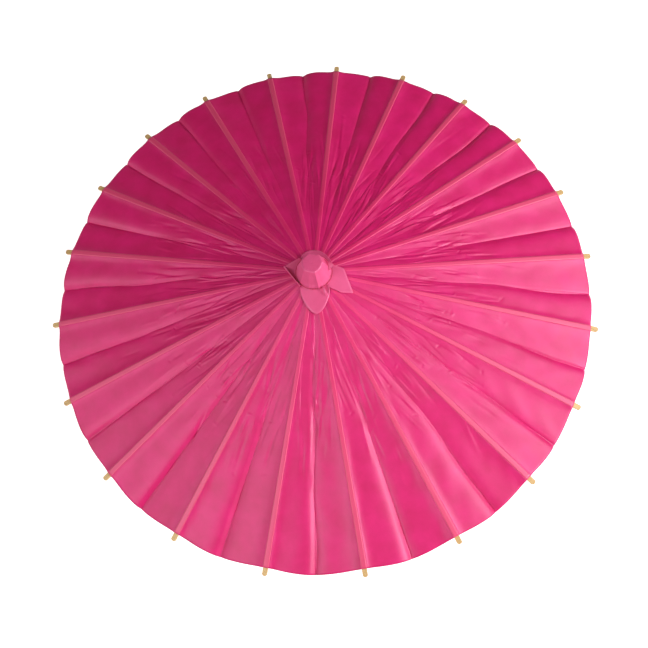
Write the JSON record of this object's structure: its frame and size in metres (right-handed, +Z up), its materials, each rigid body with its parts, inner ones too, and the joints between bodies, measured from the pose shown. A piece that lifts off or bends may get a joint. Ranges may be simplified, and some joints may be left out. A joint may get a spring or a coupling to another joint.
{
  "type": "oil paper umbrella",
  "caption": "Hot-pink oiled-paper parasol with split bamboo ribs, a sliding runner that folds it, a wrapped paper cap and a wooden grip.",
  "frame": {"origin": "middle of the handle's flat lower end", "axes": "+Z up along the shaft towards the paper cap; +X and +Y level, the sprung catch faces +X"},
  "size_m": [0.7181, 0.7166, 0.5254],
  "materials": {
    "rib": "split bamboo, scraped smooth and left bare",
    "stretcher": "split bamboo, whittled",
    "turned_wood": "turned and slotted wood, thinly oiled",
    "shaft": "bamboo-coloured dowel, varnished",
    "grip": "turned wood, dark varnish",
    "canopy_paper": "hot-pink oiled paper, translucent, satin",
    "cap_paper": "pink oiled paper, folded",
    "pink_thread": "waxed cotton thread",
    "string": "waxed cotton string",
    "bamboo_peg": "bamboo peg, cut ends",
    "pin_steel": "drawn wire, clipped ends"
  },
  "bodies": {
    "shaft_and_hub": {"rib_hub": "turned_wood", "hub_string": "string", "hub_pin": "bamboo_peg", "shaft": "shaft", "stop_pin": "pin_steel", "catch_pin": "pin_steel", "grip": "grip", "grip_pin": "bamboo_peg", "cap_paper": "cap_paper", "cap_tie": "pink_thread", "canopy_paper": "canopy_paper"},
    "catch": {"catch_tongue": "rib"},
    "rib_01": {"rib_01": "rib"},
    "rib_02": {"rib_02": "rib"},
    "rib_03": {"rib_03": "rib"},
    "rib_04": {"rib_04": "rib"},
    "rib_05": {"rib_05": "rib"},
    "rib_06": {"rib_06": "rib"},
    "rib_07": {"rib_07": "rib"},
    "rib_08": {"rib_08": "rib"},
    "rib_09": {"rib_09": "rib"},
    "rib_10": {"rib_10": "rib"},
    "rib_11": {"rib_11": "rib"},
    "rib_12": {"rib_12": "rib"},
    "rib_13": {"rib_13": "rib"},
    "rib_14": {"rib_14": "rib"},
    "rib_15": {"rib_15": "rib"},
    "rib_16": {"rib_16": "rib"},
    "rib_17": {"rib_17": "rib"},
    "rib_18": {"rib_18": "rib"},
    "rib_19": {"rib_19": "rib"},
    "rib_20": {"rib_20": "rib"},
    "rib_21": {"rib_21": "rib"},
    "stretcher_01": {"stretcher_01": "stretcher"},
    "stretcher_02": {"stretcher_02": "stretcher"},
    "stretcher_03": {"stretcher_03": "stretcher"},
    "stretcher_04": {"stretcher_04": "stretcher"},
    "stretcher_05": {"stretcher_05": "stretcher"},
    "stretcher_06": {"stretcher_06": "stretcher"},
    "stretcher_07": {"stretcher_07": "stretcher"},
    "stretcher_08": {"stretcher_08": "stretcher"},
    "stretcher_09": {"stretcher_09": "stretcher"},
    "stretcher_10": {"stretcher_10": "stretcher"},
    "stretcher_11": {"stretcher_11": "stretcher"},
    "stretcher_12": {"stretcher_12": "stretcher"},
    "stretcher_13": {"stretcher_13": "stretcher"},
    "stretcher_14": {"stretcher_14": "stretcher"},
    "stretcher_15": {"stretcher_15": "stretcher"},
    "stretcher_16": {"stretcher_16": "stretcher"},
    "stretcher_17": {"stretcher_17": "stretcher"},
    "stretcher_18": {"stretcher_18": "stretcher"},
    "stretcher_19": {"stretcher_19": "stretcher"},
    "stretcher_20": {"stretcher_20": "stretcher"},
    "stretcher_21": {"stretcher_21": "stretcher"},
    "runner": {"runner": "turned_wood", "runner_string": "string"}
  },
  "joints": [
    {"name": "canopy_fold", "type": "hinge", "parent": "shaft_and_hub", "child": "rib_01", "pos_m": [0.01579, 0.0026, 0.491], "axis": [-0.1623, 0.9867, 0], "range_deg": [0, 68], "deforming": ["canopy_paper", "catch_tongue"]},
    {"name": "rib_02_hinge", "type": "hinge", "parent": "shaft_and_hub", "child": "rib_02", "pos_m": [0.01448, 0.0068, 0.491], "axis": [-0.4251, 0.9051, 0], "range_deg": [0, 68]},
    {"name": "rib_03_hinge", "type": "hinge", "parent": "shaft_and_hub", "child": "rib_03", "pos_m": [0.01215, 0.01041, 0.491], "axis": [-0.6505, 0.7595, 0], "range_deg": [0, 68]},
    {"name": "rib_04_hinge", "type": "hinge", "parent": "shaft_and_hub", "child": "rib_04", "pos_m": [0.00898, 0.01324, 0.491], "axis": [-0.8275, 0.5614, 0], "range_deg": [0, 68]},
    {"name": "rib_05_hinge", "type": "hinge", "parent": "shaft_and_hub", "child": "rib_05", "pos_m": [0.00518, 0.01514, 0.491], "axis": [-0.9462, 0.3236, 0], "range_deg": [0, 68]},
    {"name": "rib_06_hinge", "type": "hinge", "parent": "shaft_and_hub", "child": "rib_06", "pos_m": [0.00098, 0.01597, 0.491], "axis": [-0.9981, 0.0612, 0], "range_deg": [0, 68]},
    {"name": "rib_07_hinge", "type": "hinge", "parent": "shaft_and_hub", "child": "rib_07", "pos_m": [-0.00332, 0.01565, 0.491], "axis": [-0.9782, -0.2077, 0], "range_deg": [0, 68]},
    {"name": "rib_08_hinge", "type": "hinge", "parent": "shaft_and_hub", "child": "rib_08", "pos_m": [-0.00742, 0.01418, 0.491], "axis": [-0.886, -0.4637, 0], "range_deg": [0, 68]},
    {"name": "rib_09_hinge", "type": "hinge", "parent": "shaft_and_hub", "child": "rib_09", "pos_m": [-0.011, 0.01162, 0.491], "axis": [-0.7261, -0.6876, 0], "range_deg": [0, 68]},
    {"name": "rib_10_hinge", "type": "hinge", "parent": "shaft_and_hub", "child": "rib_10", "pos_m": [-0.01379, 0.00811, 0.491], "axis": [-0.507, -0.8619, 0], "range_deg": [0, 68]},
    {"name": "rib_11_hinge", "type": "hinge", "parent": "shaft_and_hub", "child": "rib_11", "pos_m": [-0.01553, 0.00386, 0.491], "axis": [-0.241, -0.9705, 0], "range_deg": [0, 68]},
    {"name": "rib_12_hinge", "type": "hinge", "parent": "shaft_and_hub", "child": "rib_12", "pos_m": [-0.01597, -0.00089, 0.491], "axis": [0.0555, -0.9985, 0], "range_deg": [0, 68]},
    {"name": "rib_13_hinge", "type": "hinge", "parent": "shaft_and_hub", "child": "rib_13", "pos_m": [-0.01493, -0.00575, 0.491], "axis": [0.3591, -0.9333, 0], "range_deg": [0, 68]},
    {"name": "rib_14_hinge", "type": "hinge", "parent": "shaft_and_hub", "child": "rib_14", "pos_m": [-0.01231, -0.01022, 0.491], "axis": [0.6387, -0.7695, 0], "range_deg": [0, 68]},
    {"name": "rib_15_hinge", "type": "hinge", "parent": "shaft_and_hub", "child": "rib_15", "pos_m": [-0.00823, -0.01372, 0.491], "axis": [0.8575, -0.5146, 0], "range_deg": [0, 68]},
    {"name": "rib_16_hinge", "type": "hinge", "parent": "shaft_and_hub", "child": "rib_16", "pos_m": [-0.0031, -0.0157, 0.491], "axis": [0.9811, -0.1937, 0], "range_deg": [0, 68]},
    {"name": "rib_17_hinge", "type": "hinge", "parent": "shaft_and_hub", "child": "rib_17", "pos_m": [0.00243, -0.01581, 0.491], "axis": [0.9884, 0.1519, 0], "range_deg": [0, 68]},
    {"name": "rib_18_hinge", "type": "hinge", "parent": "shaft_and_hub", "child": "rib_18", "pos_m": [0.00761, -0.01408, 0.491], "axis": [0.8798, 0.4753, 0], "range_deg": [0, 68]},
    {"name": "rib_19_hinge", "type": "hinge", "parent": "shaft_and_hub", "child": "rib_19", "pos_m": [0.01178, -0.01083, 0.491], "axis": [0.6767, 0.7363, 0], "range_deg": [0, 68]},
    {"name": "rib_20_hinge", "type": "hinge", "parent": "shaft_and_hub", "child": "rib_20", "pos_m": [0.01457, -0.00661, 0.491], "axis": [0.413, 0.9107, 0], "range_deg": [0, 68]},
    {"name": "rib_21_hinge", "type": "hinge", "parent": "shaft_and_hub", "child": "rib_21", "pos_m": [0.01588, -0.00198, 0.491], "axis": [0.1238, 0.9923, 0], "range_deg": [0, 68]},
    {"name": "stretcher_01_hinge", "type": "hinge", "parent": "rib_01", "child": "stretcher_01", "pos_m": [0.16125, 0.02653, 0.4431], "axis": [-0.1623, 0.9867, 0], "range_deg": [-136, 0]},
    {"name": "stretcher_02_hinge", "type": "hinge", "parent": "rib_02", "child": "stretcher_02", "pos_m": [0.14791, 0.06947, 0.4431], "axis": [-0.4251, 0.9051, 0], "range_deg": [-136, 0]},
    {"name": "stretcher_03_hinge", "type": "hinge", "parent": "rib_03", "child": "stretcher_03", "pos_m": [0.12411, 0.10631, 0.4431], "axis": [-0.6505, 0.7595, 0], "range_deg": [-136, 0]},
    {"name": "stretcher_04_hinge", "type": "hinge", "parent": "rib_04", "child": "stretcher_04", "pos_m": [0.09174, 0.13523, 0.4431], "axis": [-0.8275, 0.5614, 0], "range_deg": [-136, 0]},
    {"name": "stretcher_05_hinge", "type": "hinge", "parent": "rib_05", "child": "stretcher_05", "pos_m": [0.05288, 0.15462, 0.4431], "axis": [-0.9462, 0.3236, 0], "range_deg": [-136, 0]},
    {"name": "stretcher_06_hinge", "type": "hinge", "parent": "rib_06", "child": "stretcher_06", "pos_m": [0.01, 0.16311, 0.4431], "axis": [-0.9981, 0.0612, 0], "range_deg": [-136, 0]},
    {"name": "stretcher_07_hinge", "type": "hinge", "parent": "rib_07", "child": "stretcher_07", "pos_m": [-0.03394, 0.15985, 0.4431], "axis": [-0.9782, -0.2077, 0], "range_deg": [-136, 0]},
    {"name": "stretcher_08_hinge", "type": "hinge", "parent": "rib_08", "child": "stretcher_08", "pos_m": [-0.07577, 0.14478, 0.4431], "axis": [-0.886, -0.4637, 0], "range_deg": [-136, 0]},
    {"name": "stretcher_09_hinge", "type": "hinge", "parent": "rib_09", "child": "stretcher_09", "pos_m": [-0.11237, 0.11865, 0.4431], "axis": [-0.7261, -0.6876, 0], "range_deg": [-136, 0]},
    {"name": "stretcher_10_hinge", "type": "hinge", "parent": "rib_10", "child": "stretcher_10", "pos_m": [-0.14085, 0.08285, 0.4431], "axis": [-0.507, -0.8619, 0], "range_deg": [-136, 0]},
    {"name": "stretcher_11_hinge", "type": "hinge", "parent": "rib_11", "child": "stretcher_11", "pos_m": [-0.1586, 0.03938, 0.4431], "axis": [-0.241, -0.9705, 0], "range_deg": [-136, 0]},
    {"name": "stretcher_12_hinge", "type": "hinge", "parent": "rib_12", "child": "stretcher_12", "pos_m": [-0.16316, -0.00906, 0.4431], "axis": [0.0555, -0.9985, 0], "range_deg": [-136, 0]},
    {"name": "stretcher_13_hinge", "type": "hinge", "parent": "rib_13", "child": "stretcher_13", "pos_m": [-0.15252, -0.05868, 0.4431], "axis": [0.3591, -0.9333, 0], "range_deg": [-136, 0]},
    {"name": "stretcher_14_hinge", "type": "hinge", "parent": "rib_14", "child": "stretcher_14", "pos_m": [-0.12575, -0.10436, 0.4431], "axis": [0.6387, -0.7695, 0], "range_deg": [-136, 0]},
    {"name": "stretcher_15_hinge", "type": "hinge", "parent": "rib_15", "child": "stretcher_15", "pos_m": [-0.08409, -0.14012, 0.4431], "axis": [0.8575, -0.5146, 0], "range_deg": [-136, 0]},
    {"name": "stretcher_16_hinge", "type": "hinge", "parent": "rib_16", "child": "stretcher_16", "pos_m": [-0.03166, -0.16032, 0.4431], "axis": [0.9811, -0.1937, 0], "range_deg": [-136, 0]},
    {"name": "stretcher_17_hinge", "type": "hinge", "parent": "rib_17", "child": "stretcher_17", "pos_m": [0.02483, -0.16152, 0.4431], "axis": [0.9884, 0.1519, 0], "range_deg": [-136, 0]},
    {"name": "stretcher_18_hinge", "type": "hinge", "parent": "rib_18", "child": "stretcher_18", "pos_m": [0.07768, -0.14377, 0.4431], "axis": [0.8798, 0.4753, 0], "range_deg": [-136, 0]},
    {"name": "stretcher_19_hinge", "type": "hinge", "parent": "rib_19", "child": "stretcher_19", "pos_m": [0.12032, -0.11058, 0.4431], "axis": [0.6767, 0.7363, 0], "range_deg": [-136, 0]},
    {"name": "stretcher_20_hinge", "type": "hinge", "parent": "rib_20", "child": "stretcher_20", "pos_m": [0.14883, -0.06749, 0.4431], "axis": [0.413, 0.9107, 0], "range_deg": [-136, 0]},
    {"name": "stretcher_21_hinge", "type": "hinge", "parent": "rib_21", "child": "stretcher_21", "pos_m": [0.16216, -0.02022, 0.4431], "axis": [0.1238, 0.9923, 0], "range_deg": [-136, 0]},
    {"name": "runner_hinge", "type": "hinge", "parent": "stretcher_01", "child": "runner", "pos_m": [0.01579, 0.0026, 0.3952], "axis": [-0.1623, 0.9867, 0], "range_deg": [0, 68]},
    {"name": "catch_press", "type": "hinge", "parent": "shaft_and_hub", "child": "catch", "pos_m": [0.003, 0, 0.32], "axis": [0, -1, 0], "range_deg": [0, 5.5], "stiffness_Nm_per_rad": 0.3}
  ],
  "couplings": [
    {"joint": "rib_02_hinge", "follows": "canopy_fold", "ratio": 1},
    {"joint": "rib_03_hinge", "follows": "canopy_fold", "ratio": 1},
    {"joint": "rib_04_hinge", "follows": "canopy_fold", "ratio": 1},
    {"joint": "rib_05_hinge", "follows": "canopy_fold", "ratio": 1},
    {"joint": "rib_06_hinge", "follows": "canopy_fold", "ratio": 1},
    {"joint": "rib_07_hinge", "follows": "canopy_fold", "ratio": 1},
    {"joint": "rib_08_hinge", "follows": "canopy_fold", "ratio": 1},
    {"joint": "rib_09_hinge", "follows": "canopy_fold", "ratio": 1},
    {"joint": "rib_10_hinge", "follows": "canopy_fold", "ratio": 1},
    {"joint": "rib_11_hinge", "follows": "canopy_fold", "ratio": 1},
    {"joint": "rib_12_hinge", "follows": "canopy_fold", "ratio": 1},
    {"joint": "rib_13_hinge", "follows": "canopy_fold", "ratio": 1},
    {"joint": "rib_14_hinge", "follows": "canopy_fold", "ratio": 1},
    {"joint": "rib_15_hinge", "follows": "canopy_fold", "ratio": 1},
    {"joint": "rib_16_hinge", "follows": "canopy_fold", "ratio": 1},
    {"joint": "rib_17_hinge", "follows": "canopy_fold", "ratio": 1},
    {"joint": "rib_18_hinge", "follows": "canopy_fold", "ratio": 1},
    {"joint": "rib_19_hinge", "follows": "canopy_fold", "ratio": 1},
    {"joint": "rib_20_hinge", "follows": "canopy_fold", "ratio": 1},
    {"joint": "rib_21_hinge", "follows": "canopy_fold", "ratio": 1},
    {"joint": "stretcher_01_hinge", "follows": "canopy_fold", "ratio": -2},
    {"joint": "stretcher_02_hinge", "follows": "canopy_fold", "ratio": -2},
    {"joint": "stretcher_03_hinge", "follows": "canopy_fold", "ratio": -2},
    {"joint": "stretcher_04_hinge", "follows": "canopy_fold", "ratio": -2},
    {"joint": "stretcher_05_hinge", "follows": "canopy_fold", "ratio": -2},
    {"joint": "stretcher_06_hinge", "follows": "canopy_fold", "ratio": -2},
    {"joint": "stretcher_07_hinge", "follows": "canopy_fold", "ratio": -2},
    {"joint": "stretcher_08_hinge", "follows": "canopy_fold", "ratio": -2},
    {"joint": "stretcher_09_hinge", "follows": "canopy_fold", "ratio": -2},
    {"joint": "stretcher_10_hinge", "follows": "canopy_fold", "ratio": -2},
    {"joint": "stretcher_11_hinge", "follows": "canopy_fold", "ratio": -2},
    {"joint": "stretcher_12_hinge", "follows": "canopy_fold", "ratio": -2},
    {"joint": "stretcher_13_hinge", "follows": "canopy_fold", "ratio": -2},
    {"joint": "stretcher_14_hinge", "follows": "canopy_fold", "ratio": -2},
    {"joint": "stretcher_15_hinge", "follows": "canopy_fold", "ratio": -2},
    {"joint": "stretcher_16_hinge", "follows": "canopy_fold", "ratio": -2},
    {"joint": "stretcher_17_hinge", "follows": "canopy_fold", "ratio": -2},
    {"joint": "stretcher_18_hinge", "follows": "canopy_fold", "ratio": -2},
    {"joint": "stretcher_19_hinge", "follows": "canopy_fold", "ratio": -2},
    {"joint": "stretcher_20_hinge", "follows": "canopy_fold", "ratio": -2},
    {"joint": "stretcher_21_hinge", "follows": "canopy_fold", "ratio": -2},
    {"joint": "runner_hinge", "follows": "canopy_fold", "ratio": 1}
  ]
}
